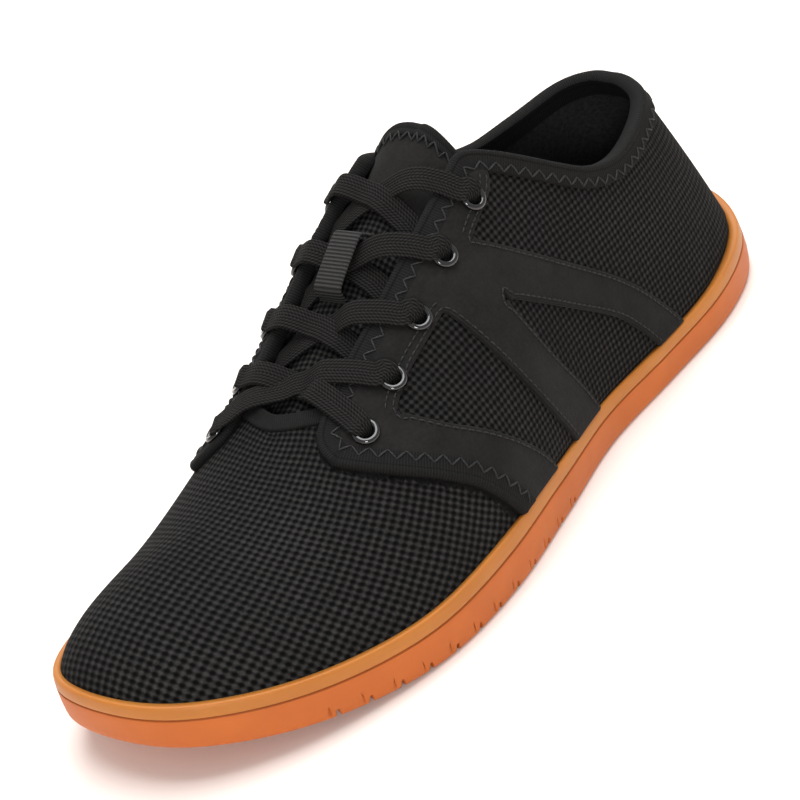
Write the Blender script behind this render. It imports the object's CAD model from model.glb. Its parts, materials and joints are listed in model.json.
# %% [markdown]
# # A low barefoot trainer, dressed over its solids
# The solids of the shoe are loaded as a fixed frame. Everything that shows is then made
# again as fine meshes from the same last, so panels, tape and laces lie where the solids are.
# Sizes are in millimetres in the last's frame, and in metres once they are in the scene.

# %% Setup
import json
import math

import bpy
import numpy as np
from mathutils import Matrix, Vector

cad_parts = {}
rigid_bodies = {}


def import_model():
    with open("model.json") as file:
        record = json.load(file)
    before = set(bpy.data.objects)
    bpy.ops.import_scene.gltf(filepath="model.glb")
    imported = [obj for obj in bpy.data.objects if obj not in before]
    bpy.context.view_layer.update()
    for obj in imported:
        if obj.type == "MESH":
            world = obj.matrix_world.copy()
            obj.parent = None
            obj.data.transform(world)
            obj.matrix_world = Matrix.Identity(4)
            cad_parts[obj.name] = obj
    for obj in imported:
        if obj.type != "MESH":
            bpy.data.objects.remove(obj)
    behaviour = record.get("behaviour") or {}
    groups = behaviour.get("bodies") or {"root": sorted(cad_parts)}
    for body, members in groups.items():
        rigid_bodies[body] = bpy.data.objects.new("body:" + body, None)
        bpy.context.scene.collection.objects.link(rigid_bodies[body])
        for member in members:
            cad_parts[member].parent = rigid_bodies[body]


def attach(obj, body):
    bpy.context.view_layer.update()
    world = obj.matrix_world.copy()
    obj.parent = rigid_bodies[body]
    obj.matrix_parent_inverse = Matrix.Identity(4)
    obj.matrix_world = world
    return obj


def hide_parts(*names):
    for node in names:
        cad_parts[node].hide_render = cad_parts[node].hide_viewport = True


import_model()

for spare in [o for o in bpy.data.objects if o.name in ("Cube", "Light", "Camera")]:
    bpy.data.objects.remove(spare)
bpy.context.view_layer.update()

# %% [markdown]
# ## Sizes
# The same named sizes and tables as in the solids. A table has a row for each section.

# %% Sizes
LENGTH = 290.0
BALL = 100.0
INSTEP = 106.0
COLLAR = 70.0
TOE_SPRING, SPRING_START = 12.9, 0.72
HEEL_ROUND, HEEL_ROUND_SHARE = 1.0, 0.08
FLOOR = 7.3
LIP = 16.0
INSOLE = 3.5
FIT = 0.3
WALL = 1.8
STEP = 1.0
SHIFT = np.array([-145.068, -1.353, 0.0])

SECTIONS = np.array([
    # along, outer, inner, crest, square outer, square inner, swell
    [0.000, 0.0000, 0.0000, 0.170, 1.00, 1.00, 0.0170],
    [0.020, 0.1568, -0.1549, 0.173, 1.02, 1.12, 0.0160],
    [0.070, 0.2833, -0.2700, 0.180, 1.08, 1.24, 0.0155],
    [0.160, 0.3566, -0.3265, 0.200, 1.15, 1.40, 0.0145],
    [0.280, 0.3705, -0.3237, 0.282, 1.41, 1.95, 0.0137],
    [0.400, 0.3787, -0.3258, 0.392, 1.68, 2.40, 0.0121],
    [0.520, 0.4485, -0.3902, 0.519, 1.90, 2.32, 0.0105],
    [0.640, 0.5085, -0.4592, 0.629, 1.95, 2.04, 0.0119],
    [0.750, 0.5050, -0.4883, 0.718, 2.00, 1.88, 0.0132],
    [0.850, 0.4212, -0.4692, 0.774, 2.05, 1.80, 0.0146],
    [0.930, 0.2931, -0.4066, 0.804, 2.10, 1.96, 0.0160],
    [0.985, 0.1248, -0.2786, 0.819, 2.15, 2.11, 0.0173],
    [1.000, -0.0800, -0.0800, 0.824, 2.20, 2.20, 0.0187],
])
SPINE = np.array([[0.1, 1.162], [0.2, 1.176], [0.3, 1.120], [0.4, 1.010], [0.5, 0.867],
                  [0.6, 0.693], [0.7, 0.547], [0.8, 0.447], [0.9, 0.442]])
ACROSS = np.array([[0.1, 0.000], [0.3, -0.020], [0.5, -0.064], [0.7, -0.050], [0.85, -0.067]])
LIP_LINE = np.array([[0.0, 1.14], [0.2, 0.86], [0.4, 0.89], [0.6, 1.06], [0.8, 0.97], [1.0, 0.875]])
COLLAR_LINE = [[-0.05, 1.085], [0.03, 1.065], [0.09, 1.05], [0.16, 1.00], [0.215, 0.985], [0.25, 1.01],
               [0.28, 1.06], [0.31, 1.145], [0.34, 1.24], [0.37, 1.33], [0.395, 1.385], [0.42, 1.395],
               [0.440, 1.43], [0.452, 1.52], [0.456, 2.2]]
COLLAR_END = 0.42
INNER_AHEAD, INNER_AHEAD_FROM, INNER_BULGE = 9.0, 0.25, 9.5
GAP = np.array([
    # along, outer, inner: edges of the gap between the facings, from above
    [0.36, 0.090, -0.165], [0.44, 0.099, -0.185], [0.50, 0.104, -0.200], [0.56, 0.098, -0.203],
    [0.62, 0.088, -0.203], [0.67, 0.092, -0.200], [0.70, 0.105, -0.200], [0.715, 0.140, -0.212],
    [0.724, 0.200, -0.235], [0.745, 0.235, -0.330], [0.775, 0.260, -0.400]])
THROAT_ROWS = 6
THROAT_END = 0.692
FRONT = [[0.585, 0.02], [0.607, 0.172], [0.637, 0.302], [0.664, 0.371], [0.680, 0.403], [0.695, 0.430],
         [0.713, 0.462], [0.724, 0.488], [0.727, 0.530]]
EYESTAY = [[0.385, 0.92], [0.400, 0.821], [0.450, 0.759], [0.512, 0.681], [0.560, 0.630], [0.612, 0.573],
           [0.655, 0.510], [0.70, 0.42]]
STRAPS = {
    "rear": [[0.505, 0.770, 19], [0.480, 0.700, 15.5], [0.392, 0.508, 13.3], [0.315, 0.330, 11.5],
             [0.262, 0.135, 12.5], [0.235, 0.0, 12.5]],
    "middle": [[0.515, 0.760, 19], [0.510, 0.680, 17], [0.495, 0.492, 16], [0.477, 0.347, 15.7],
               [0.444, 0.162, 16.5], [0.420, 0.0, 16.5]],
    "front": [[0.690, 0.520, 19], [0.645, 0.405, 18], [0.602, 0.300, 19], [0.565, 0.160, 22],
              [0.540, 0.0, 23]],
}
PAIRS = 5
EYELET_ROW = dict(first=5.27, last=7.43, first_angle=0.56, last_angle=0.51, inner_ahead=0.27)
TONGUE = np.array([
    # place, half angle, thickness share, flat, proud
    [4.99, 0.46, 0.6, 0.026, 0.032], [5.09, 0.60, 0.95, 0.026, 0.032], [5.25, 0.66, 1.15, 0.022, 0.018],
    [5.50, 0.70, 1.0, 0.016, 0], [6.20, 0.74, 0.75, 0.004, 0], [7.00, 0.70, 0.6, 0, 0],
    [7.70, 0.60, 0.5, 0, 0], [8.05, 0.52, 0.5, 0, 0]])
TONGUE_THICK = 3.4
TONGUE_TOP = -WALL - 4 * FIT - 0.9
FACING_TOP = STEP + FIT + 0.9
BINDING_WIDTH = 7.0
LACE_WIDTH, LACE_THICK = 7.6, 1.4
print("sections:", len(SECTIONS), "eyelet pairs:", PAIRS)

# %% [markdown]
# ## The last as a function
# A place along the sections and an angle from the crest give a point; an offset moves it along
# the normal. All of it works on whole arrays.

# %% The last
ROWS = len(SECTIONS) - 1


def lookup(rows, at, column=1):
    k, v = rows[:, 0], rows[:, column]
    slope = np.empty(len(v))
    slope[1:-1] = (v[2:] - v[:-2]) / (k[2:] - k[:-2])
    slope[0] = (v[1] - v[0]) / (k[1] - k[0])
    slope[-1] = (v[-1] - v[-2]) / (k[-1] - k[-2])
    at = np.asarray(at, float)
    i = np.clip(np.searchsorted(k, at) - 1, 0, len(k) - 2)
    span = k[i + 1] - k[i]
    t = np.clip((at - k[i]) / span, 0, 1)
    inside = ((2 * t**3 - 3 * t**2 + 1) * v[i] + (t**3 - 2 * t**2 + t) * span * slope[i]
              + (-2 * t**3 + 3 * t**2) * v[i + 1] + (t**3 - t**2) * span * slope[i + 1])
    inside = np.where(at < k[0], v[0] + (at - k[0]) * slope[0], inside)
    return np.where(at > k[-1], v[-1] + (at - k[-1]) * slope[-1], inside)


def catmull(values, t):
    i = np.clip(np.floor(t).astype(int), 1, len(values) - 3)
    f = t - i
    p0, p1, p2, p3 = values[i - 1], values[i], values[i + 1], values[i + 2]
    return 0.5 * (2 * p1 + (p2 - p0) * f + (2 * p0 - 5 * p1 + 4 * p2 - p3) * f * f
                  + (3 * p1 - p0 - 3 * p2 + p3) * f**3)


def around(own, other):
    near, far = SECTIONS[:, own], SECTIONS[:, other]
    return np.concatenate([[far[2], far[1]], near, [far[ROWS - 1], far[ROWS - 2]]])


COLUMN = {"along": around(0, 0), "crest": around(3, 3), "swell": around(6, 6), "outer": around(1, 2),
          "inner": around(2, 1), "square_outer": around(4, 4), "square_inner": around(5, 5)}


def ground(share):
    toe = np.maximum(0, (share - SPRING_START) / (1 - SPRING_START))
    heel = np.maximum(0, (HEEL_ROUND_SHARE - share) / HEEL_ROUND_SHARE)
    return TOE_SPRING * toe**2 + HEEL_ROUND * heel**2


def section(place, side):
    s = np.asarray(place, float)
    way = np.broadcast_to(np.asarray(side, float), s.shape)
    way = np.where(s < 0, -way, way)
    s = np.abs(s)
    way = np.where(s > ROWS, -way, way)
    s = np.where(s > ROWS, 2 * ROWS - s, s)
    read = lambda name: catmull(COLUMN[name], s + 2)
    outer = way > 0
    return dict(share=read("along"), x=read("along") * LENGTH,
                y=np.where(outer, read("outer"), read("inner")) * BALL, crest=read("crest"),
                square=np.where(outer, read("square_outer"), read("square_inner")),
                swell=read("swell") * BALL)


def last_point(place, rise, side):
    cut = section(place, side)
    top_x = cut["crest"] * LENGTH
    top_y = lookup(ACROSS, cut["crest"]) * BALL
    top_z = lookup(SPINE, cut["crest"]) * INSTEP
    e = 1e-4
    lean = (lookup(SPINE, cut["crest"] + e) - lookup(SPINE, cut["crest"] - e)) * INSTEP / (2 * e * LENGTH)
    foot_z = ground(cut["share"]) + FLOOR
    over_foot = top_z + lean * (cut["x"] - top_x)
    inward = 1 - np.maximum(np.cos(rise), 0) ** (2 / cut["square"])
    upward = np.maximum(np.sin(rise), 0) ** (2 / cut["square"])
    dx, dy = cut["x"] - top_x, cut["y"] - top_y
    reach = np.hypot(dx, dy) + 1e-9
    bulge = cut["swell"] * np.sin(np.pi * np.minimum(upward, 1) ** 0.8)
    return np.stack([cut["x"] - dx * inward + dx / reach * bulge,
                     cut["y"] - dy * inward + dy / reach * bulge,
                     foot_z + (over_foot - foot_z) * upward + (top_z - over_foot) * inward], -1)


def unit(v):
    return v / (np.linalg.norm(v, axis=-1, keepdims=True) + 1e-12)


def last_normal(place, rise, side):
    e = 0.02
    low = np.maximum(rise - e, 0.002)
    high = np.minimum(rise + e, np.pi / 2 - 0.002)
    alongs = last_point(place + e, rise, side) - last_point(place - e, rise, side)
    ups = last_point(place, high, side) - last_point(place, low, side)
    return unit(np.cross(ups, alongs) * np.asarray(side)[..., None])


def skin_normal(place, angle):
    place, angle = np.broadcast_arrays(np.asarray(place, float), np.asarray(angle, float))
    near = 0.03
    side = np.where(angle >= 0, 1.0, -1.0)
    normal = last_normal(place, np.pi / 2 - np.maximum(np.abs(angle), near), side)
    a = last_normal(place, np.full(place.shape, np.pi / 2 - near), np.ones(place.shape))
    b = last_normal(place, np.full(place.shape, np.pi / 2 - near), -np.ones(place.shape))
    t = np.clip(0.5 - angle / near / 2, 0, 1)[..., None]
    return np.where((np.abs(angle) < near)[..., None], unit(a * (1 - t) + b * t), normal)


def skin(place, angle, offset=0.0):
    place, angle = np.broadcast_arrays(np.asarray(place, float), np.asarray(angle, float))
    side = np.where(angle >= 0, 1.0, -1.0)
    base = last_point(place, np.pi / 2 - np.abs(angle), side)
    return base + skin_normal(place, angle) * np.asarray(offset, float)[..., None]


def lip_at(share):
    return lookup(LIP_LINE, share) * LIP


def outline(place, side, out):
    cut = section(place, side)
    e = 0.02
    a, b = section(place - e, side), section(place + e, side)
    t = unit(np.stack([b["x"] - a["x"], b["y"] - a["y"]], -1)) * np.asarray(side)[..., None]
    away = out + 0.8 * cut["swell"]
    return cut["share"], cut["x"] - t[..., 1] * away, cut["y"] + t[..., 0] * away


print("crest over the instep:", np.round(skin(5.0, 0.0), 1))

# %% [markdown]
# ## Sheets
# A sheet is a net of triangles over the last that knows each vertex's place and angle. It is
# split along the zero line of a field, such as the distance to a cut line, and one side is kept.
# A panel gives the kept sheet its thickness and a rounded edge.

# %% Sheets
def sides_of(tris):
    """The three directed edges of every triangle."""
    return np.concatenate([tris[:, [0, 1]], tris[:, [1, 2]], tris[:, [2, 0]]])


def proper(tris):
    """The triangles with three different corners."""
    return tris[(tris[:, 0] != tris[:, 1]) & (tris[:, 1] != tris[:, 2]) & (tris[:, 0] != tris[:, 2])]


def arc_of(points):
    """Length along a line up to each of its points."""
    return np.concatenate([[0], np.cumsum(np.linalg.norm(np.diff(points, axis=0), axis=1))])


class Sheet:
    def __init__(self, data, tris=()):
        self.data, self.tris = data, np.asarray(tris, int).reshape(-1, 3)

    def base(self):
        return skin(self.data[:, 0], self.data[:, 1])

    def split(self, values):
        values = np.where(np.abs(values) < 1e-6, 1e-6, values)
        tris, sign = self.tris, values > 0
        mixed = sign[tris].any(1) & ~sign[tris].all(1)
        rows = tris[mixed]
        edges = np.sort(sides_of(rows), 1)
        edges = np.unique(edges[sign[edges[:, 0]] != sign[edges[:, 1]]], axis=0)
        t = values[edges[:, 0]] / (values[edges[:, 0]] - values[edges[:, 1]])
        fresh = self.data[edges[:, 0]] * (1 - t[:, None]) + self.data[edges[:, 1]] * t[:, None]
        first = len(self.data)
        number = {(a, b): first + i for i, (a, b) in enumerate(edges.tolist())}
        made = []
        for tri in rows.tolist():
            s = [bool(sign[v]) for v in tri]
            k = s.index(sum(s) == 1)
            a, b, c = tri[k], tri[(k + 1) % 3], tri[(k + 2) % 3]
            ab, ac = number[(min(a, b), max(a, b))], number[(min(a, c), max(a, c))]
            made += [[a, ab, ac], [ab, b, c], [ab, c, ac]]
        made = np.array(made, int).reshape(-1, 3)
        return Sheet(np.vstack([self.data, fresh]), np.vstack([tris[~mixed], made]))

    def cut(self, field):
        """Keeps what has a field over zero."""
        out = self.split(field(self))
        return out.only(field(out.middle()) > 0)

    def middle(self):
        """The middle of every triangle, as a sheet of loose points."""
        return Sheet(self.data[self.tris].mean(1))

    def only(self, mask):
        tris = self.tris[mask]
        used = np.unique(tris)
        where = np.full(len(self.data), -1)
        where[used] = np.arange(len(used))
        return Sheet(self.data[used], where[tris])


def grid(first, last, low, high, along, across):
    s = np.linspace(first, last, along + 1)
    a = np.linspace(low, high, across + 1)
    ss, aa = np.meshgrid(s, a, indexing="ij")
    n = across + 1
    i, j = np.meshgrid(np.arange(along), np.arange(across), indexing="ij")
    v = (i * n + j).ravel()
    tris = np.concatenate([np.stack([v, v + n + 1, v + 1], 1), np.stack([v, v + n, v + n + 1], 1)])
    return Sheet(np.stack([ss.ravel(), aa.ravel()], 1), tris)


def spline(points, steps):
    p = np.asarray(points, float)
    p = np.vstack([p[:1], p, p[-1:]])
    t = np.linspace(0, len(points) - 1, steps + 1)
    i = np.minimum(t.astype(int), len(points) - 2)
    f = (t - i)[:, None]
    p0, p1, p2, p3 = p[i], p[i + 1], p[i + 2], p[i + 3]
    v0, v1 = (p2 - p0) / 2, (p3 - p1) / 2
    return (2 * p1 - 2 * p2 + v0 + v1) * f**3 + (-3 * p1 + 3 * p2 - 2 * v0 - v1) * f**2 + v0 * f + p1


def distance(points, line):
    """Distance to a polyline, and how far along it the nearest point lies."""
    a, b = line[:-1], line[1:]
    run = b - a
    length = np.linalg.norm(run, axis=1)
    before = np.concatenate([[0], np.cumsum(length)[:-1]])
    best = np.full(len(points), 1e9)
    where = np.zeros(len(points))
    for k in range(len(a)):
        t = np.clip((points - a[k]) @ run[k] / (length[k] ** 2 + 1e-12), 0, 1)
        d = np.linalg.norm(points - (a[k] + t[:, None] * run[k]), axis=1)
        near = d < best
        best = np.where(near, d, best)
        where = np.where(near, before[k] + t * length[k], where)
    return best, where


def inside(points, polygon):
    """Signed distance to a closed outline in a plane, over zero inside it."""
    ring = np.vstack([polygon, polygon[:1]])
    d, _ = distance(points, ring)
    x, y = points[:, 0], points[:, 1]
    odd = np.zeros(len(points), bool)
    for (x0, y0), (x1, y1) in zip(ring[:-1], ring[1:]):
        if y0 == y1:
            continue
        odd ^= ((y0 > y) != (y1 > y)) & (x < (x1 - x0) * (y - y0) / (y1 - y0) + x0)
    return np.where(odd, d, -d)


HIGH = 2 * INSTEP


def collar_curve(side):
    rows = []
    for a, h in COLLAR_LINE:
        t = min(max((a - INNER_AHEAD_FROM) / (COLLAR_END - INNER_AHEAD_FROM), 0), 1)
        ahead = 0 if side > 0 else INNER_AHEAD * t * t * (3 - 2 * t)
        rows.append([a * LENGTH + ahead, h * COLLAR])
    return spline(rows, 84)


def ahead_at(height, side):
    """How much further forward the inner quarter reaches at a height."""
    t = np.clip(height / (FRONT[-1][1] * INSTEP), 0, 1)
    return (side < 0) * (INNER_AHEAD * t + INNER_BULGE * np.sin(0.8 * np.pi * t))


def front_curve(side):
    rows = spline([[a * LENGTH, h * INSTEP] for a, h in FRONT], 40)
    rows[:, 0] += ahead_at(rows[:, 1], side)
    return rows


def two_sides(sheet, field):
    """A field of the side view, with its own line on each side."""
    p = sheet.base()
    outer = sheet.data[:, 1] >= 0
    value = np.empty(len(p))
    for side, mask in ((1, outer), (-1, ~outer)):
        value[mask] = field(p[mask][:, [0, 2]], side)
    return value


def above_collar(xz, side):
    c = collar_curve(side)
    return inside(xz, np.vstack([c, [[c[-1, 0], HIGH], [c[0, 0], HIGH]]]))


def behind_front(xz, side):
    c = front_curve(side)
    ring = np.vstack([c, [[c[-1, 0] - 12, HIGH], [-30, HIGH], [-30, -20], [c[0, 0], -20]]])
    return inside(xz, ring)


def gap_ring(rows):
    outer = spline(np.stack([rows[:, 0] * LENGTH, rows[:, 1] * BALL], 1), 60)
    inner = spline(np.stack([rows[:, 0] * LENGTH, rows[:, 2] * BALL], 1)[::-1], 60)
    return outer, inner


def in_gap(sheet):
    outer, inner = gap_ring(GAP)
    low = np.where(sheet.base()[:, 2] < 0.3 * INSTEP, -50.0, 0)
    return inside(sheet.base()[:, :2], np.vstack([outer, inner])) + low


def in_throat(sheet):
    outer, inner = gap_ring(GAP[:THROAT_ROWS])
    nose = [THROAT_END * LENGTH, (GAP[THROAT_ROWS - 1, 1] + GAP[THROAT_ROWS - 1, 2]) / 2 * BALL]
    tip = spline([outer[-1], nose, inner[0]], 20)[1:-1]
    return inside(sheet.base()[:, :2], np.vstack([outer, tip, inner]))


def quarter_field(sheet):
    return np.minimum(two_sides(sheet, behind_front),
                      np.minimum(-two_sides(sheet, above_collar), -in_gap(sheet)))


print("collar corner, outer side:", np.round(collar_curve(1)[-20], 1))

# %% [markdown]
# ## Flat patterns
# The knit keeps its pitch only if its sheet is laid flat. The vamp is domed, so it is unwrapped
# with little stretch, turned so that the shoe's length runs along the first axis, and scaled to
# mm. The quarters bend one way only, so their own arc lengths are their flat pattern.

# %% Flat patterns
def welded(sheet):
    p = np.round(sheet.base(), 3)
    _, first, ids = np.unique(p, axis=0, return_index=True, return_inverse=True)
    return first, ids.ravel()


def linked(name, data):
    piece = bpy.data.objects.new(name, data)
    bpy.context.scene.collection.objects.link(piece)
    return piece


def mesh_object(name, points, faces, materials=(), slots=None, uv=None, smooth=True):
    mesh = bpy.data.meshes.new(name)
    mesh.from_pydata(((np.asarray(points) + SHIFT) / 1000).tolist(), [], [list(f) for f in faces])
    for m in materials:
        mesh.materials.append(m)
    if slots is not None:
        mesh.polygons.foreach_set("material_index", np.asarray(slots, np.int32))
    if smooth:
        mesh.polygons.foreach_set("use_smooth", np.ones(len(mesh.polygons), bool))
    if uv is not None:
        layer = mesh.uv_layers.new(name="UVMap")
        corner = np.empty(len(mesh.loops), np.int32)
        mesh.loops.foreach_get("vertex_index", corner)
        layer.data.foreach_set("uv", np.asarray(uv, np.float32)[corner].ravel())
    mesh.update()
    return linked(name, mesh)


def flatten(sheet, guide):
    """Near-isometric flat coordinates in mm of each vertex, turned to agree with the guide."""
    first, ids = welded(sheet)
    tris = proper(ids[sheet.tris])
    used = np.unique(tris)
    small = np.full(len(first), -1)
    small[used] = np.arange(len(used))
    points = sheet.base()[first][used]
    piece = mesh_object("flat", points, small[tris])
    bpy.ops.object.select_all(action="DESELECT")
    bpy.context.view_layer.objects.active = piece
    piece.select_set(True)
    bpy.ops.object.mode_set(mode="EDIT")
    bpy.ops.mesh.select_all(action="SELECT")
    bpy.ops.uv.unwrap(method="MINIMUM_STRETCH", margin=0.0)
    bpy.ops.object.mode_set(mode="OBJECT")
    mesh = piece.data
    corner = np.empty(len(mesh.loops), np.int32)
    mesh.loops.foreach_get("vertex_index", corner)
    flat = np.empty(len(mesh.loops) * 2, np.float32)
    mesh.uv_layers[0].data.foreach_get("uv", flat)
    uv = np.zeros((len(points), 2))
    uv[corner] = flat.reshape(-1, 2)
    bpy.data.objects.remove(piece)
    e = np.unique(np.sort(np.concatenate([small[tris][:, :2], small[tris][:, 1:]]), 1), axis=0)
    real = np.linalg.norm(points[e[:, 0]] - points[e[:, 1]], axis=1)
    got = np.linalg.norm(uv[e[:, 0]] - uv[e[:, 1]], axis=1)
    uv *= np.median(real / np.maximum(got, 1e-9))
    uv -= uv.mean(0)
    aim = guide(points)
    aim = aim - aim.mean(0)
    if np.linalg.det(uv.T @ aim) < 0:
        uv[:, 1] *= -1
    z = (uv[:, 0] - 1j * uv[:, 1]) @ (aim[:, 0] + 1j * aim[:, 1])
    turn = z / abs(z)
    w = (uv[:, 0] + 1j * uv[:, 1]) * turn
    out = np.zeros((len(first), 2))
    out[used] = np.stack([w.real, w.imag], 1)
    stretch = np.linalg.norm(uv[e[:, 0]] - uv[e[:, 1]], axis=1) / real
    print("flat sheet:", len(points), "stretch 5 to 95 %:", np.round(np.percentile(stretch, [5, 95]), 2))
    return out[ids]


ALONG, ACROSS_CELLS = 104, 52
coarse = grid(0, ROWS, -np.pi / 2, np.pi / 2, ALONG, ACROSS_CELLS)


def arc_flat(sheet):
    """The quarters bend one way only: length round the heel, and height from the sole's edge."""
    p = sheet.base().reshape(ALONG + 1, ACROSS_CELLS + 1, 3)
    up = np.linalg.norm(np.diff(p, axis=1), axis=2)
    half = ACROSS_CELLS // 2
    height = np.zeros(p.shape[:2])
    height[:, 1:half + 1] = np.cumsum(up[:, :half], 1)
    height[:, half:-1] = np.cumsum(up[:, :half - 1:-1], 1)[:, ::-1]
    length = np.zeros(p.shape[:2])
    for column, way, mask in ((8, -1, slice(0, half)), (ACROSS_CELLS - 8, 1, slice(half, None))):
        length[:, mask] = (way * arc_of(p[:, column]))[:, None]
    return np.stack([length.ravel(), height.ravel()], 1)


near_vamp = two_sides(coarse.middle(), behind_front) < 18
flat_vamp = flatten(Sheet(coarse.data, coarse.tris[near_vamp]), lambda p: p[:, [0, 1]])
flat_quarter = arc_flat(coarse)


def refine(sheet):
    """Every cell in four, with the flat coordinates carried along."""
    e, where = np.unique(np.sort(sides_of(sheet.tris), 1), axis=0, return_inverse=True)
    where = where.ravel() + len(sheet.data)
    k = len(sheet.tris)
    ab, bc, ca = where[:k], where[k:2 * k], where[2 * k:]
    a, b, c = sheet.tris.T
    data = np.vstack([sheet.data, sheet.data[e].mean(1)])
    tris = np.concatenate([np.stack(t, 1) for t in ((a, ab, ca), (ab, b, bc), (ca, bc, c), (ab, bc, ca))])
    return Sheet(data, tris)


def biggest(sheet):
    """The largest connected piece of a sheet; slivers that a cut leaves behind are dropped."""
    _, ids = welded(sheet)
    tris = ids[sheet.tris]
    label = np.arange(ids.max() + 1)
    while True:
        low = label[tris].min(1)
        fresh = label.copy()
        np.minimum.at(fresh, tris.ravel(), np.repeat(low, 3))
        fresh = fresh[fresh]
        if (fresh == label).all():
            break
        label = fresh
    kind = label[tris[:, 0]]
    return sheet.only(kind == np.bincount(kind).argmax())


coarse.data = np.hstack([coarse.data, flat_vamp, flat_quarter])
whole = refine(coarse)
quarter = biggest(whole.cut(quarter_field))
print("quarter sheet:", len(quarter.tris), "triangles")

# %% [markdown]
# ## Panels
# A cut piece of cloth or leather has a rounded edge, not a sharp one. The sheet is split along
# lines at a few distances from its border, and the top droops towards the border along an arc.
# A lower layer and a wall along the border close it. Working from distances keeps every edge
# even, where a Bevel modifier would have to find it on a net that was cut freely.

# %% Panels
from mathutils.kdtree import KDTree


def ease(t):
    t = np.clip(t, 0, 1)
    return t * t * (3 - 2 * t)


def joined(sheet):
    """Equal points joined: which vertex stands for each, the faces, and the directed border."""
    first, ids = welded(sheet)
    t = proper(ids[sheet.tris])
    e = sides_of(t)
    _, index, count = np.unique(np.sort(e, 1), axis=0, return_index=True, return_counts=True)
    return first, t, e[index[count == 1]]


def edge_distance(points, a, b):
    """Distance of points to the nearest of many short edges."""
    length = np.linalg.norm(b - a, axis=1)
    count = np.maximum(1, np.ceil(length / 0.6).astype(int))
    owner = np.repeat(np.arange(len(a)), count)
    t = np.concatenate([(np.arange(c) + 0.5) / c for c in count])
    tree = KDTree(len(owner))
    for i, spot in enumerate(a[owner] + (b - a)[owner] * t[:, None]):
        tree.insert(spot, i)
    tree.balance()
    k = owner[np.array([tree.find(p)[1] for p in points])]
    run = (b - a)[k]
    u = np.clip(((points - a[k]) * run).sum(1) / ((run**2).sum(1) + 1e-12), 0, 1)
    return np.linalg.norm(points - a[k] - u[:, None] * run, axis=1)


def panel(name, sheet, top, bottom, radius, materials, uv=(2, 3), slots=None, rings=(0.13, 0.38, 0.7, 1.0)):
    """Solid piece between two offsets of the last, with its border rounded over on top."""
    first, _, rim = joined(sheet)
    base = sheet.base()[first]
    a, b = base[rim[:, 0]], base[rim[:, 1]]
    for share in rings:
        sheet = sheet.split(edge_distance(sheet.base(), a, b) - radius * share)
    first, tris, rim = joined(sheet)
    data = sheet.data[first]
    p = skin(data[:, 0], data[:, 1])
    d = np.clip(edge_distance(p, a, b) / radius, 0, 1)
    high = top(data, p) - radius * (1 - np.sqrt(1 - (1 - d) ** 2))
    low = bottom(data, p)
    normal = skin_normal(data[:, 0], data[:, 1])
    n = len(data)
    points = np.vstack([p + normal * high[:, None], p + normal * np.broadcast_to(low, n)[:, None]])
    i, j = rim.T
    wall = np.stack([j, i, i + n, j + n], 1)
    faces = tris.tolist() + (tris[:, ::-1] + n).tolist() + wall.tolist()
    kinds = np.zeros(len(faces), int)
    if slots is not None:
        kinds = slots(data[tris].mean(1), len(tris), len(wall))
    flat = np.tile(data[:, list(uv)] if isinstance(uv, tuple) else uv(data, p), (2, 1))
    piece = mesh_object(name, points, faces, materials, kinds, flat)
    print(name, len(tris) * 2 + len(wall) * 2, "triangles")
    return piece


def lip_gap(p):
    """Height of a point over the sole's lip beside it."""
    share = np.clip(p[:, 0] / LENGTH, 0, 1)
    return p[:, 2] - ground(share) - lip_at(share)


def tucked(p, offset, close=0.25):
    """The offset, drawn in to almost nothing where the cloth goes down behind the lip."""
    return close + (offset - close) * ease((lip_gap(p) + 0.6) / 2.6)


# %% [markdown]
# ## Finishes
# Each cloth and the rubber is a small node tree. `wave` draws one row of stripes from a number,
# and the finishes are built from such rows, from noise, and from bumps.

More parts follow.
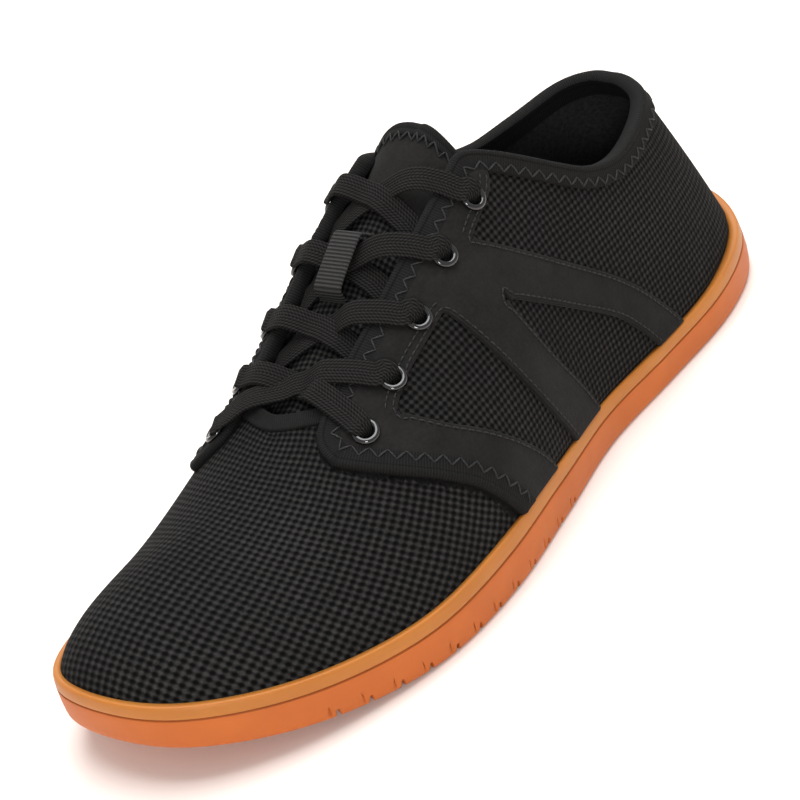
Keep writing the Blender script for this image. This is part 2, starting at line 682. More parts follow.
# %% Node helpers
class Tree:
    def __init__(self, name):
        self.material = bpy.data.materials.new(name)
        self.material.use_nodes = True
        self.nodes = self.material.node_tree.nodes
        self.links = self.material.node_tree.links
        self.shader = self.nodes["Principled BSDF"]

    def node(self, kind, inputs=(), **settings):
        made = self.nodes.new("ShaderNode" + kind)
        for key, value in settings.items():
            setattr(made, key, value)
        for key, value in dict(inputs).items():
            self.put(made, key, value)
        return made

    def put(self, node, key, value):
        socket = node.inputs[key]
        if isinstance(value, bpy.types.NodeSocket):
            self.links.new(value, socket)
        else:
            socket.default_value = value

    def math(self, operation, a, b=0.0, c=0.0):
        made = self.node("Math", {0: a, 1: b, 2: c}, operation=operation)
        return made.outputs[0]

    def plus(self, a, b):
        return self.math("ADD", a, b)

    def times(self, a, b):
        return self.math("MULTIPLY", a, b)

    def wave(self, value, pitch, kind="SINE"):
        return self.math(kind, self.times(value, 2 * math.pi / pitch))

    def uv(self):
        split = self.node("SeparateXYZ", {0: self.node("TexCoord").outputs["UV"]})
        return split.outputs[0], split.outputs[1]

    def place(self, scale=1.0):
        spot = self.node("TexCoord").outputs["Object"]
        return self.node("Mapping", {"Vector": spot, "Scale": (scale, scale, scale)}).outputs[0]

    def noise(self, spot, scale, detail=3.0, rough=0.55):
        made = self.node("TexNoise", {"Vector": spot, "Scale": scale, "Detail": detail, "Roughness": rough})
        return made.outputs[0]

    def span(self, value, low, high, to_low=0.0, to_high=1.0):
        made = self.node("MapRange", {0: value, 1: low, 2: high, 3: to_low, 4: to_high})
        return made.outputs[0]

    def blend(self, share, a, b):
        made = self.node("Mix", data_type="RGBA")
        self.put(made, 0, share)
        self.put(made, 6, a)
        self.put(made, 7, b)
        return made.outputs[2]

    def bump(self, height, strength, distance, under=None):
        made = self.node("Bump", {"Height": height, "Strength": strength, "Distance": distance})
        if under is not None:
            self.put(made, "Normal", under)
        return made.outputs[0]

    def finish(self, colour, roughness, normal=None, **rest):
        self.put(self.shader, "Base Color", colour)
        self.put(self.shader, "Roughness", roughness)
        if normal is not None:
            self.put(self.shader, "Normal", normal)
        for key, value in rest.items():
            self.put(self.shader, key.replace("_", " "), value)
        return self.material


def grey(level, warm=0.0):
    return (level * (1 + warm), level, level * (1 - warm), 1.0)


# %% Knit
def knit(name, pitch_u, pitch_v, light=0.046, dark=0.0004, hole=0.4):
    t = Tree(name)
    u, v = t.uv()
    drift = t.span(t.noise(t.place(60), 1.0, 2.0), 0.3, 0.7, -0.22, 0.22)
    u, v = t.plus(u, drift), t.math("SUBTRACT", v, drift)
    net = t.times(t.plus(t.wave(u, pitch_u, "COSINE"), t.wave(v, pitch_v, "COSINE")), 0.5)
    knot = t.math("POWER", t.span(net, -0.8, 0.9), 1.7)
    yarn = t.wave(t.plus(u, t.times(v, 0.55)), 0.42)
    fine = t.times(yarn, 0.25)
    fuzz = t.noise(t.place(900), 1.0, 4.0)
    worn = t.span(t.noise(t.place(25), 1.0, 3.0), 0.3, 0.7, 0.8, 1.15)
    share = t.times(knot, worn)
    share = t.times(share, t.span(fuzz, 0.3, 0.7, 0.55, 1.4))
    share = t.times(share, t.span(yarn, -1, 1, 0.62, 1.15))
    colour = t.blend(share, grey(dark), grey(light, 0.03))
    height = t.plus(t.math("POWER", knot, hole), t.times(fine, knot))
    normal = t.bump(height, 0.9, 0.0006, t.bump(fuzz, 0.25, 0.0002))
    return t.finish(colour, 0.9, normal, Specular_IOR_Level=0.1)


vamp_knit = knit("knit_vamp", 2.0, 2.4)
quarter_knit = knit("knit_quarter", 2.0, 2.0, 0.039)
tongue_knit = knit("knit_tongue", 1.9, 1.9, 0.046)


# %% Nubuck, tape, lining and thread
def nubuck():
    t = Tree("nubuck")
    nap = t.noise(t.place(900), 1.0, 5.0, 0.7)
    brushed = t.noise(t.place(70), 1.0, 4.0, 0.6)
    share = t.plus(t.times(nap, 0.6), t.times(brushed, 0.6))
    colour = t.blend(t.span(share, 0.4, 0.85), grey(0.0055, 0.03), grey(0.0165, 0.06))
    normal = t.bump(nap, 0.6, 0.0003, t.bump(brushed, 0.3, 0.0008))
    return t.finish(colour, 0.88, normal, Specular_IOR_Level=0.12, Sheen_Weight=0.03)


def tape(pitch=0.85, light=0.012, dark=0.0015, fold=2.2):
    t = Tree("tape")
    u, v = t.uv()
    rib = t.wave(u, pitch)
    yarn = t.wave(v, 0.5)
    crease = t.span(t.math("ABSOLUTE", t.math("SUBTRACT", v, fold)), 0.0, 0.35)
    fuzz = t.noise(t.place(1200), 1.0, 4.0)
    height = t.plus(t.times(rib, 0.5), t.times(yarn, 0.12))
    height = t.plus(height, t.times(crease, 1.2))
    share = t.times(t.span(rib, -1, 1, 0.45, 1.0), t.span(crease, 0, 1, 0.4, 1.0))
    share = t.times(share, t.span(fuzz, 0.3, 0.7, 0.75, 1.15))
    normal = t.bump(height, 0.6, 0.00022, t.bump(fuzz, 0.25, 0.00015))
    return t.finish(t.blend(share, grey(dark), grey(light, 0.03)), 0.85, normal, Specular_IOR_Level=0.12)


def lining():
    t = Tree("lining")
    weave = t.noise(t.place(1000), 0.9, 2.0)
    hollow = t.noise(t.place(30), 1.0, 2.0)
    colour = t.blend(t.span(weave, 0.3, 0.7), grey(0.018), grey(0.036))
    normal = t.bump(weave, 0.5, 0.0004, t.bump(hollow, 0.2, 0.001))
    return t.finish(colour, 0.95, normal, Specular_IOR_Level=0.1)


def thread():
    t = Tree("thread")
    twist = t.noise(t.place(2500), 1.0, 1.0)
    colour = t.blend(t.span(twist, 0.3, 0.7), grey(0.006), grey(0.032))
    return t.finish(colour, 0.6, t.bump(twist, 0.4, 0.0001), Specular_IOR_Level=0.25)


nubuck_finish, tape_finish, lining_finish, thread_finish = nubuck(), tape(), lining(), thread()


# %% Laces, webbing and enamel
def braid():
    t = Tree("braid")
    u, v = t.uv()
    side = t.math("ABSOLUTE", v)
    chevron = t.plus(u, t.times(side, 0.9))
    strand = t.wave(chevron, 1.15)
    cord = t.wave(v, 0.95)
    fuzz = t.noise(t.place(1500), 1.0, 3.0)
    height = t.plus(t.times(strand, 0.35), t.times(cord, 0.5))
    share = t.math("POWER", t.span(height, -0.85, 0.85, 0.05, 1.0), 1.6)
    share = t.times(share, t.span(fuzz, 0.3, 0.7, 0.75, 1.2))
    normal = t.bump(height, 0.7, 0.00028, t.bump(fuzz, 0.3, 0.00015))
    return t.finish(t.blend(share, grey(0.001), grey(0.024, 0.05)), 0.8, normal, Specular_IOR_Level=0.1)


def webbing():
    t = Tree("webbing")
    u, v = t.uv()
    rib = t.wave(u, 1.15)
    fuzz = t.noise(t.place(1500), 1.0, 3.0)
    share = t.times(t.span(rib, -1, 1, 0.15, 1.0), t.span(fuzz, 0.3, 0.7, 0.8, 1.15))
    colour = t.blend(share, grey(0.004), grey(0.038, 0.03))
    return t.finish(colour, 0.75, t.bump(rib, 0.8, 0.0003), Specular_IOR_Level=0.2)


def enamel():
    t = Tree("enamel")
    worn = t.noise(t.place(300), 1.0, 3.0)
    return t.finish(grey(0.004), t.span(worn, 0.3, 0.7, 0.07, 0.13), Coat_Weight=0.6, Coat_Roughness=0.04)


braid_finish, webbing_finish, enamel_finish = braid(), webbing(), enamel()


# %% Gum rubber
def gum(name, colour, deep, rough):
    t = Tree(name)
    mottle = t.noise(t.place(45), 1.0, 3.0)
    grain = t.noise(t.place(1400), 1.0, 4.0)
    scuff = t.noise(t.place(18), 1.0, 5.0, 0.7)
    base = t.blend(t.span(mottle, 0.3, 0.7), deep, colour)
    rough_now = t.span(scuff, 0.3, 0.7, rough - 0.06, rough + 0.08)
    normal = t.bump(grain, 0.12, 0.00015, t.bump(mottle, 0.1, 0.001))
    return t.finish(base, rough_now, normal, Subsurface_Weight=0.25, Subsurface_Scale=0.004,
                    Subsurface_Radius=(1.0, 0.45, 0.18), Specular_IOR_Level=0.3)


gum_upper = gum("gum_upper", (0.47, 0.172, 0.029, 1), (0.42, 0.145, 0.023, 1), 0.42)
gum_lower = gum("gum_lower", (0.52, 0.130, 0.019, 1), (0.46, 0.110, 0.015, 1), 0.5)
gum_dark = gum("gum_groove", (0.36, 0.085, 0.011, 1), (0.31, 0.07, 0.009, 1), 0.6)
print("finishes:", len(bpy.data.materials))

# %% [markdown]
# ## Upper
# The vamp is one knitted sheet over a thin lining. The quarters are sewn on top of it, so behind
# their front edge the outside steps up by a millimetre, which the tape over the edge hides. The
# collar and the throat are open, and the collar shows the dark lining inside.

# %% Upper
def eyelet_place(i, side):
    t = i / (PAIRS - 1)
    row = EYELET_ROW
    ahead = 0 if side > 0 else row["inner_ahead"]
    return (row["first"] + (row["last"] - row["first"]) * t + ahead,
            row["first_angle"] + (row["last_angle"] - row["first_angle"]) * t)


EYELET_SPOTS = [(*eyelet_place(i, side), side) for side in (1, -1) for i in range(PAIRS)]


def eyelet_holes(sheet, radius):
    """Over zero outside every eyelet's hole."""
    p = sheet.base()
    best = np.full(len(p), 1e9)
    for place, angle, side in EYELET_SPOTS:
        best = np.minimum(best, np.linalg.norm(p - skin(place, side * angle), axis=1))
    return best - radius


EDGE = 1.2
EYELET_HOLE = 3.0
upper_sheet = whole.cut(lambda s: np.minimum(-two_sides(s, above_collar), -in_throat(s)) - EDGE)
upper_sheet = upper_sheet.split(two_sides(upper_sheet, behind_front))
upper_sheet = upper_sheet.split(in_gap(upper_sheet))
upper_sheet = upper_sheet.cut(lambda s: eyelet_holes(s, EYELET_HOLE))


def quarter_side(data):
    """Over zero under a quarter, with nothing of it left before the gap's wide end."""
    sheet = Sheet(data)
    p = sheet.base()
    end = GAP[-1]
    before = (p[:, 0] > end[0] * LENGTH - 2) & (p[:, 1] < end[1] * BALL) & (p[:, 1] > end[2] * BALL)
    return np.where(before, -1.0, np.minimum(two_sides(sheet, behind_front), -in_gap(sheet)))


def quarter_step(data, p):
    return STEP * ease(quarter_side(data) / 3.5)


def upper_slots(data, count, wall):
    rear = (quarter_side(data) > 0).astype(int)
    return np.concatenate([rear, np.full(count, 2), np.full(wall, 2)])


def upper_flat(data, p):
    rear = quarter_side(data) > -0.02
    return np.where(rear[:, None], data[:, 4:6], data[:, 2:4])


upper = panel("upper_knit", upper_sheet,
              top=lambda data, p: tucked(p, quarter_step(data, p), 0.1),
              bottom=lambda data, p: np.full(len(data), -WALL), radius=0.3,
              materials=[vamp_knit, quarter_knit, lining_finish], uv=upper_flat, slots=upper_slots,
              rings=(1.0,))
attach(upper, "root")
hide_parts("upper")

# %% [markdown]
# ## Straps and eyestays
# Each quarter carries one panel of brushed leather: the eyestay along the facing and three plain
# straps that tie it to the sole. The outline is drawn in side view in the shoe's own sizes, as
# the union of a region and three strips of changing width.

# %% Overlays
def strip_field(xz, rows, side=1):
    line = spline([[a * LENGTH + ahead_at(h * INSTEP, side), h * INSTEP] for a, h, _ in rows], 70)
    gap, arc = distance(xz, line)
    along = arc_of(line)
    width = np.interp(np.linspace(0, len(rows) - 1, len(line)), np.arange(len(rows)), [r[2] for r in rows])
    return np.interp(arc, along, width) / 2 - gap


def in_straps(xz, side):
    return np.maximum.reduce([strip_field(xz, rows, side if name == "front" else 1)
                              for name, rows in STRAPS.items()])


def overlay_field(xz, side):
    edge = spline([[a * LENGTH, h * INSTEP] for a, h in EYESTAY], 50)
    front = front_curve(side)[-1, 0] + 4
    stay = inside(xz, np.vstack([edge, [[front, edge[-1, 1]], [front, HIGH], [edge[0, 0], HIGH]]]))
    return np.maximum(stay, in_straps(xz, side))


def chain(edges):
    """The longest run of connected directed edges, as indices."""
    after = dict(edges.tolist())
    ends = set(after.values())
    starts = [i for i in after if i not in ends]
    best = []
    for start in starts:
        run = [start]
        while run[-1] in after and len(run) < len(after) + 2:
            run.append(after[run[-1]])
        best = max(best, run, key=len)
    return best


first, _, rim = joined(quarter)
open_rim = np.array([e for e in rim if not (np.abs(quarter.data[first[e], 1]) > np.pi / 2 - 0.01).all()])
run = chain(open_rim)
edge_path = quarter.base()[first[run]]
print("open edge of the quarters:", len(run), "points of", len(open_rim), "long",
      round(arc_of(edge_path)[-1]), "mm")


over_lip = lambda s: lip_gap(s.base()) - 0.15
near_edge, _ = distance(quarter.base(), edge_path)
quarter.data = np.hstack([quarter.data, near_edge[:, None]])
OVERLAY_TOP = STEP + 2 * FIT + 0.6
overlay_sheets = {}
for side, name in ((1, "outer"), (-1, "inner")):
    half = quarter.only((quarter.data[quarter.tris, 1].mean(1) * side > 0))
    sheet = half.cut(lambda s: two_sides(s, overlay_field)).cut(over_lip)
    sheet = sheet.cut(lambda s: s.data[:, 6] - BINDING_WIDTH + 0.7)
    sheet = sheet.cut(lambda s: eyelet_holes(s, EYELET_HOLE))
    overlay_sheets[side] = sheet
    piece = panel("overlay_" + name + "_nubuck", sheet,
                  top=lambda data, p: np.full(len(data), OVERLAY_TOP),
                  bottom=lambda data, p: tucked(p, STEP, 0.3),
                  radius=0.55, materials=[nubuck_finish], uv=(4, 5))
    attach(piece, "root")
    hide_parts("overlay_" + name)

# %% [markdown]
# ## Tape over the edges
# One ribbed tape is folded over the collar and the facings and runs on down the quarters' front
# edge. Its flat coordinates are the way along the edge and the distance from it, so its ribs
# always stand square to the edge, round every corner.

# %% Tape
def region_of(p, data):
    """Which edge a point lies by: 0 the quarters' front, 1 the throat, 2 the collar."""
    sheet = Sheet(data)
    collar = np.abs(two_sides(sheet, above_collar))
    throat = np.abs(in_throat(sheet))
    ahead = -two_sides(sheet, behind_front) > -BINDING_WIDTH - 1
    kind = np.where(throat < BINDING_WIDTH + 1, 1, 0)
    kind = np.where((p[:, 0] > GAP[THROAT_ROWS - 1, 0] * LENGTH + 4), 0, kind)
    return np.where((collar < BINDING_WIDTH + 1) & ~ahead, 2, kind)


def tape_top(data, p):
    d = data[:, 6]
    roll = 0.25 * np.sin(np.pi * np.clip(d / 2.3, 0, 1)) ** 0.8
    inner = 0.45 * (1 - np.sqrt(1 - (1 - np.clip((BINDING_WIDTH - d) / 0.45, 0, 1)) ** 2))
    front = 1 - ease((p[:, 0] - 0.6 * LENGTH) / 10)
    nose = (1.5 - 0.5 * (1 - front)) * (1 - np.sqrt(1 - (1 - np.clip(d / 1.8, 0, 1)) ** 2))
    return OVERLAY_TOP + 0.05 + roll - inner - nose


def tape_bottom(data, p):
    kind = region_of(p, data)
    return np.choose(kind, [0.05, -WALL, -WALL - 0.8])


tape_sheet = quarter.cut(lambda s: BINDING_WIDTH - s.data[:, 6]).cut(over_lip)
for level in (0.25, 0.7, 1.3, 2.0, 2.3, 2.6, BINDING_WIDTH - 0.45, BINDING_WIDTH - 0.15):
    tape_sheet = tape_sheet.split(tape_sheet.data[:, 6] - level)
tape_piece = panel("edge_tape", tape_sheet, top=tape_top, bottom=tape_bottom, radius=0.02,
                   materials=[tape_finish],
                   uv=lambda data, p: np.stack([distance(p, edge_path)[1], data[:, 6]], 1), rings=())
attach(tape_piece, "root")
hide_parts("binding")

# %% Tape on the vamp's throat
NOSE_FROM, NOSE_TO = 0.3, 5.2
nose_sheet = whole.cut(lambda s: np.minimum(-in_throat(s) - NOSE_FROM, NOSE_TO + in_throat(s)))
nose_sheet = biggest(nose_sheet.cut(lambda s: s.base()[:, 0] - GAP[THROAT_ROWS - 2, 0] * LENGTH))
nose_tape = panel("throat_tape", nose_sheet, top=lambda data, p: np.full(len(data), 0.95),
                  bottom=lambda data, p: np.full(len(data), 0.02), radius=0.7, materials=[tape_finish],
                  uv=lambda data, p: np.stack([data[:, 3], 4.6 + 0 * data[:, 3]], 1))
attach(nose_tape, "root")

# %% [markdown]
# ## Cup sole
# The sole is a loop of profiles that runs round the last: up its side, over the lip and down
# inside. A wide upper band and the lower band are split by a fine groove. The two halves of a
# section share one loop, so the mesh closes by itself at heel and toe.

# %% Sole
SOLE_SIDE = np.array([
    # height as a share of the lip, out in mm, material: 0 upper band, 1 lower band, 2 groove
    [0.000, -1.20, 1], [0.000, -0.35, 1], [0.012, 0.15, 1], [0.040, 0.60, 1], [0.090, 0.95, 1],
    [0.200, 1.18, 1], [0.400, 1.35, 1], [0.600, 1.38, 1], [0.690, 1.36, 1], [0.706, 1.25, 2],
    [0.714, 0.85, 2], [0.730, 0.85, 2], [0.738, 1.22, 2], [0.755, 1.30, 0], [0.840, 1.24, 0],
    [0.920, 1.06, 0], [0.970, 0.86, 0], [0.993, 0.62, 0], [1.000, 0.40, 0]])
DOWN, UNDER, STATIONS = 5, 7, 288
HEEL_FLUSH, HEEL_FLUSH_SHARE = 1.3, 0.13


def loop_faces(n, m, first=0, caps=True):
    """Faces over n loops of m points each, numbered from first."""
    faces = [(first + k * m + j, first + (k + 1) * m + j, first + (k + 1) * m + (j + 1) % m,
              first + k * m + (j + 1) % m) for k in range(n - 1) for j in range(m)]
    if caps:
        faces += [tuple(range(first, first + m)), tuple(range(first + (n - 1) * m, first + n * m))[::-1]]
    return faces


def lofted(name, loops, materials, slots=None, uv=None, caps=True):
    """Closed skin over a row of closed loops."""
    n, m = loops.shape[:2]
    kinds = [slots(k, j) for k in range(n - 1) for j in range(m)] + [0] * (2 * caps) if slots else None
    return mesh_object(name, loops.reshape(-1, 3), loop_faces(n, m, caps=caps), materials, kinds,
                       uv.reshape(-1, 2) if uv is not None else None)


def lip_rise(place, side):
    """Rise on the last at which it reaches the lip's height."""
    cut = section(place, side)
    aim = ground(cut["share"]) + lip_at(cut["share"])
    low, high = np.zeros(len(aim)), np.full(len(aim), 1.2)
    for _ in range(24):
        middle = (low + high) / 2
        under = last_point(place, middle, side)[:, 2] < aim
        low, high = np.where(under, middle, low), np.where(under, high, middle)
    return low


def sole_half(place, side):
    way = np.full(place.shape, float(side))
    out = []
    for height, away, _ in SOLE_SIDE:
        share = section(place, way)["share"]
        flush = HEEL_FLUSH * ease(1 - share / HEEL_FLUSH_SHARE) * ease((height - 0.3) / 0.7)
        share, x, y = outline(place, way, away - flush)
        out.append(np.stack([x, y, ground(share) + height * lip_at(share)], -1))
    rise = lip_rise(place, way)
    for t in np.linspace(0, 1, DOWN):
        at = rise * (1 - t)
        out.append(last_point(place, at, way) + last_normal(place, np.maximum(at, 0.02), way) * 0.12
                   * np.array([1, 1, 0]))
    return np.stack(out, 1)


place = np.linspace(0, ROWS, STATIONS + 1)
outer_side, inner_side = sole_half(place, 1), sole_half(place, -1)
t = np.linspace(0, 1, UNDER + 2)[1:-1, None]
floor_rows = outer_side[:, -1][:, None] * (1 - t) + inner_side[:, -1][:, None] * t
under_rows = inner_side[:, 0][:, None] * (1 - t) + outer_side[:, 0][:, None] * t
loops = np.concatenate([outer_side, floor_rows, inner_side[:, ::-1], under_rows], 1)
band_slots = list(SOLE_SIDE[1:, 2].astype(int)) + [0] * DOWN
loop_slots = band_slots + [0] * (UNDER + 1) + band_slots[::-1] + [1] * (UNDER + 1)
sole = lofted("cup_sole", loops, [gum_upper, gum_lower, gum_dark],
              slots=lambda k, j: loop_slots[j], caps=False)
print("sole:", len(sole.data.polygons) * 2, "triangles before the tread")

# %% [markdown]
# ## Tread
# Notches along the forefoot's lower edge and chevrons under it are cut by bars with a pointed
# top, as in the solids. The loops are closed first by joining their equal points at heel and toe.

# %% Tread
import bmesh


def closed(piece, reach=1e-6):
    """Joins points within reach, if any, and turns the faces outward; gives the count of open edges."""
    work = bmesh.new()
    work.from_mesh(piece.data)
    if reach:
        bmesh.ops.remove_doubles(work, verts=work.verts, dist=reach)
        bmesh.ops.dissolve_degenerate(work, dist=reach, edges=work.edges)
    bmesh.ops.recalc_face_normals(work, faces=work.faces)
    loose = sum(1 for e in work.edges if not e.is_manifold)
    work.to_mesh(piece.data)
    work.free()
    return loose


def applied(piece):
    """The mesh that the piece's modifiers make."""
    bpy.context.view_layer.update()
    graph = bpy.context.evaluated_depsgraph_get()
    return bpy.data.meshes.new_from_object(piece.evaluated_get(graph))


def tread_bar(a, b, width, depth, base, sink=2.0):
    run = unit(np.array(b - a))
    across = np.array([-run[1], run[0]])
    points = []
    for end in (a, b):
        for w, z in ((-0.7, -sink), (0.7, -sink), (0.2, depth), (-0.2, depth)):
            points.append([*(end + across * w * width), base + z])
    return np.array(points)


NOTCH_PITCH, NOTCH_FROM, NOTCH_TO = 10, 0.48, 0.90
NOTCH_WIDTH, NOTCH_DEPTH = 1.9, 2.9
CRACK_WIDTH, CRACK_DEPTH, CRACK_LEAN = 0.7, 4.6, 0.09
CHEVRON_WIDTH, CHEVRON_DEPTH = 3.2, 1.8
BAR_FACES = [(3, 2, 1, 0), (4, 5, 6, 7), (0, 1, 5, 4), (1, 2, 6, 5), (2, 3, 7, 6), (3, 0, 4, 7)]


def cut_bars(piece, bars, name):
    points = np.vstack(bars)
    faces = [tuple(v + 8 * k for v in f) for k in range(len(bars)) for f in BAR_FACES]
    cutter = mesh_object(name, points, faces, [gum_lower], [0] * len(faces), smooth=False)
    closed(cutter)
    made = piece.modifiers.new(name, "BOOLEAN")
    made.operation, made.solver, made.object, made.material_mode = "DIFFERENCE", "EXACT", cutter, "TRANSFER"
    mesh = applied(piece)
    piece.modifiers.remove(made)
    piece.data = mesh
    bpy.data.objects.remove(cutter)


def plan(place, side, out):
    share, x, y = outline(np.array(place), np.array(float(side)), out)
    return float(share), np.array([float(x), float(y)])


print("open edges of the sole:", closed(sole, 2e-6))
notches, cracks = [], []
for side in (1, -1):
    travelled, before = 0.0, plan(0.4, side, 0)[1]
    for spot in np.arange(0.4, 11.4, 0.02):
        share, here = plan(spot, side, 0)
        travelled += np.linalg.norm(here - before)
        before = here
        if travelled < NOTCH_PITCH:
            continue
        travelled -= NOTCH_PITCH
        if NOTCH_FROM <= share <= NOTCH_TO:
            a, b = plan(spot, side, 2.7)[1], plan(spot, side, -7)[1]
            notches.append(tread_bar(a, b, NOTCH_WIDTH, NOTCH_DEPTH, ground(share)))
            lean = (plan(spot + CRACK_LEAN, side, 2.7)[1] - a) * 0.9
            end = plan(spot, side, 0.75)[1]
            cracks.append(tread_bar(a + lean, end + lean, CRACK_WIDTH, CRACK_DEPTH, ground(share)))
cut_bars(sole, notches, "notches")
cut_bars(sole, cracks, "cracks")
for way in (1, -1):
    bars = []
    for share, half in [(0.54, 36), (0.59, 36), (0.64, 36), (0.69, 36), (0.13, 22), (0.18, 22), (0.23, 22)]:
        centre = np.array([share * LENGTH, 0.0])
        bars.append(tread_bar(centre, centre + [-half * 0.45, way * half], CHEVRON_WIDTH, CHEVRON_DEPTH, 0.0))
    cut_bars(sole, bars, "chevrons")
print("sole after the tread:", len(sole.data.polygons), "faces, notches", len(notches),
      "material slots", [m.name for m in sole.data.materials])
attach(sole, "root")
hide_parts("outsole")

# %% [markdown]
# ## Insole
# A thin fabric-covered slab lies on the sole's floor. Only its heel shows, down in the collar.

# %% Insole
rows = []
for side in (1, -1):
    way = np.full(place.shape, float(side))
    for away, up in ((-WALL - 0.4, 0.05), (-WALL - 0.4, INSOLE - 0.8), (-WALL - 0.7, INSOLE - 0.2),
                     (-WALL - 1.6, INSOLE)):
        share, x, y = outline(place, way, away)
        rows.append(np.stack([x, y, ground(share) + FLOOR + up], -1))
outer_rows, inner_rows = np.stack(rows[:4], 1), np.stack(rows[4:], 1)
t = np.linspace(0, 1, 9)[1:-1, None]
top_rows = outer_rows[:, -1][:, None] * (1 - t) + inner_rows[:, -1][:, None] * t
loops = np.concatenate([outer_rows, top_rows, inner_rows[:, ::-1]], 1)[2:-2]
insole = lofted("insole_cover", loops, [lining_finish])
print("insole open edges:", closed(insole))
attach(insole, "root")
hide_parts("insole")

# %% [markdown]
# ## Tongue
# The tongue follows the last under the facings. Its middle is flatter than the last, and its top
# stands a little proud between the collar's corners. The top is brushed leather with a bound
# edge, and the rest is the same knit as the shoe.

# %% Tongue
def tongue_point(place, across, depth, lift=0.0):
    """A point of the tongue: place along, -1 to 1 across, depth 0 on top to 1 underneath."""
    place, across = np.broadcast_arrays(np.asarray(place, float), np.asarray(across, float))
    half = lookup(TONGUE, place, 1)
    thick = lookup(TONGUE, place, 2) * TONGUE_THICK
    proud = np.maximum(lookup(TONGUE, place, 4), 0) * BALL * (0.5 - across / 2) ** 1.5
    offset = TONGUE_TOP + proud - depth * thick * (1 - 0.6 * across**4) + lift
    p = skin(place, across * half, offset)
    flat = np.maximum(lookup(TONGUE, place, 3), 0) * BALL
    p[..., 2] -= flat * np.maximum(0, 1 - np.abs(across) / 0.9) ** 1.6
    return p


TONGUE_FIRST, TONGUE_LAST, TONGUE_LEATHER = 4.99, 8.05, 5.62
places = np.linspace(TONGUE_FIRST, TONGUE_LAST, 111)
sides = np.sin(np.linspace(-np.pi / 2, np.pi / 2, 45))
loops, flats = [], []
for s in places:
    top = tongue_point(s, sides, 0.0)
    under = tongue_point(s, sides[::-1], 1.0)
    edge_a, edge_b = tongue_point(s, 1.012, 0.5), tongue_point(s, -1.012, 0.5)
    loops.append(np.vstack([top, [edge_a], under, [edge_b]]))
    v = arc_of(top)
    flats.append(np.concatenate([v - v.mean(), [v[-1] / 2], (v - v.mean())[::-1], [-v[-1] / 2]]))
loops = np.array(loops)
u = arc_of(loops[:, 22])
flat = np.stack([np.broadcast_to(u[:, None], loops.shape[:2]), np.array(flats)], -1)
tongue = lofted("tongue_sheet", loops, [tongue_knit, nubuck_finish, lining_finish],
                slots=lambda k, j: (1 if places[k] < TONGUE_LEATHER else 0) if j < 44 else 2, uv=flat)
closed(tongue, 0)
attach(tongue, "root")
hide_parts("tongue")

# %% Tongue's bound edge
BOUND = 4.4
span_mm = np.linalg.norm(tongue_point(5.1, 0, 0) - tongue_point(5.0, 0, 0)) / 0.1
profile = [(BOUND, 1, 0.1), (BOUND - 0.35, 1, 0.62), (BOUND / 2, 1, 0.72), (2.2, 1, 0.62), (1.8, 1, 0.75),
           (0.9, 1, 0.72), (0.2, 1, 0.42), (-0.35, 1, -0.25), (-0.62, 0.5, 0.0), (-0.35, -1, -0.25),
           (0.3, -1, 0.42), (1.2, -1, 0.7), (BOUND - 0.4, -1, 0.6), (BOUND, -1, 0.05)]
across = np.sin(np.linspace(-np.pi / 2, np.pi / 2, 61)) * 1.01
loops, flats = [], []
for c in across:
    loop, row = [], []
    for back, face, lift in profile:
        s = TONGUE_FIRST + back / span_mm
        depth = {1: 0.0, 0.5: 0.5, -1: 1.0}[face]
        loop.append(tongue_point(s, c, depth, lift * face))
        row.append(back)
    loops.append(loop)
    flats.append(row)
loops = np.array(loops)
arc = arc_of(loops[:, 3])
flat = np.stack([np.broadcast_to(arc[:, None], loops.shape[:2]), np.array(flats)], -1)
tongue_tape = lofted("tongue_tape", loops, [tape_finish], uv=flat)
closed(tongue_tape, 0)
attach(tongue_tape, "root")
print("tongue:", len(tongue.data.polygons) + len(tongue_tape.data.polygons), "faces")

# %% [markdown]
# ## Bands: laces and the tongue's loop
# A lace is a flat woven band. Its section is a soft rectangle that is carried along stations, each
# with a centre, a direction across and one up. It narrows where it goes down through an eyelet.

# %% Bands
def band_section(width, thick, points=20, square=3.0):
    a = np.linspace(0, 2 * np.pi, points, endpoint=False)
    c, s = np.cos(a), np.sin(a)
    x = np.sign(c) * np.abs(c) ** (2 / (square + 1.5)) * width / 2
    y = np.sign(s) * np.abs(s) ** (2 / square) * thick / 2
    return x, y


def band(stations, widths, thicks, dish=0.0):
    """Loops and flat coordinates of a band; dish lifts its two edges."""
    centres = np.array([s[0] for s in stations])
    along = arc_of(centres)
    loops, flats = [], []
    for (centre, across_way, up), w, h, u in zip(stations, widths, thicks, along):
        x, y = band_section(w, h)
        lift = dish * (np.abs(x) / (w / 2)) ** 2
        loops.append(centre + x[:, None] * across_way + (y + lift)[:, None] * up)
        flats.append(np.stack([np.full(len(x), u), x * LACE_WIDTH / w], -1))
    return np.array(loops), np.array(flats)


def framed(centres, ups):
    """Stations along centres: across and up follow the path's own direction."""
    ahead = unit(np.gradient(centres, axis=0))
    across_way = unit(np.cross(ahead, ups))
    return [(c, x, np.cross(x, t)) for c, x, t in zip(centres, across_way, ahead)]


def smooth_path(points, count):
    """Even stations along a Catmull-Rom line through the points."""
    fine = spline(points, len(points) * 12)
    arc = arc_of(fine)
    at = np.linspace(0, arc[-1], count)
    return np.stack([np.interp(at, arc, fine[:, i]) for i in range(3)], 1), at


def throat_angle(place, side):
    angle = 0.0
    for a in np.arange(0.05, 0.8, 0.005):
        p = skin(place, side * a)
        share = min(max(p[0] / LENGTH, GAP[0, 0]), GAP[THROAT_ROWS - 1, 0])
        edge = lookup(GAP[:THROAT_ROWS], share, 1 if side > 0 else 2) * BALL
        if side * p[1] > side * edge:
            break
        angle = a
    return angle


EYELET_FLANGE = 3.9


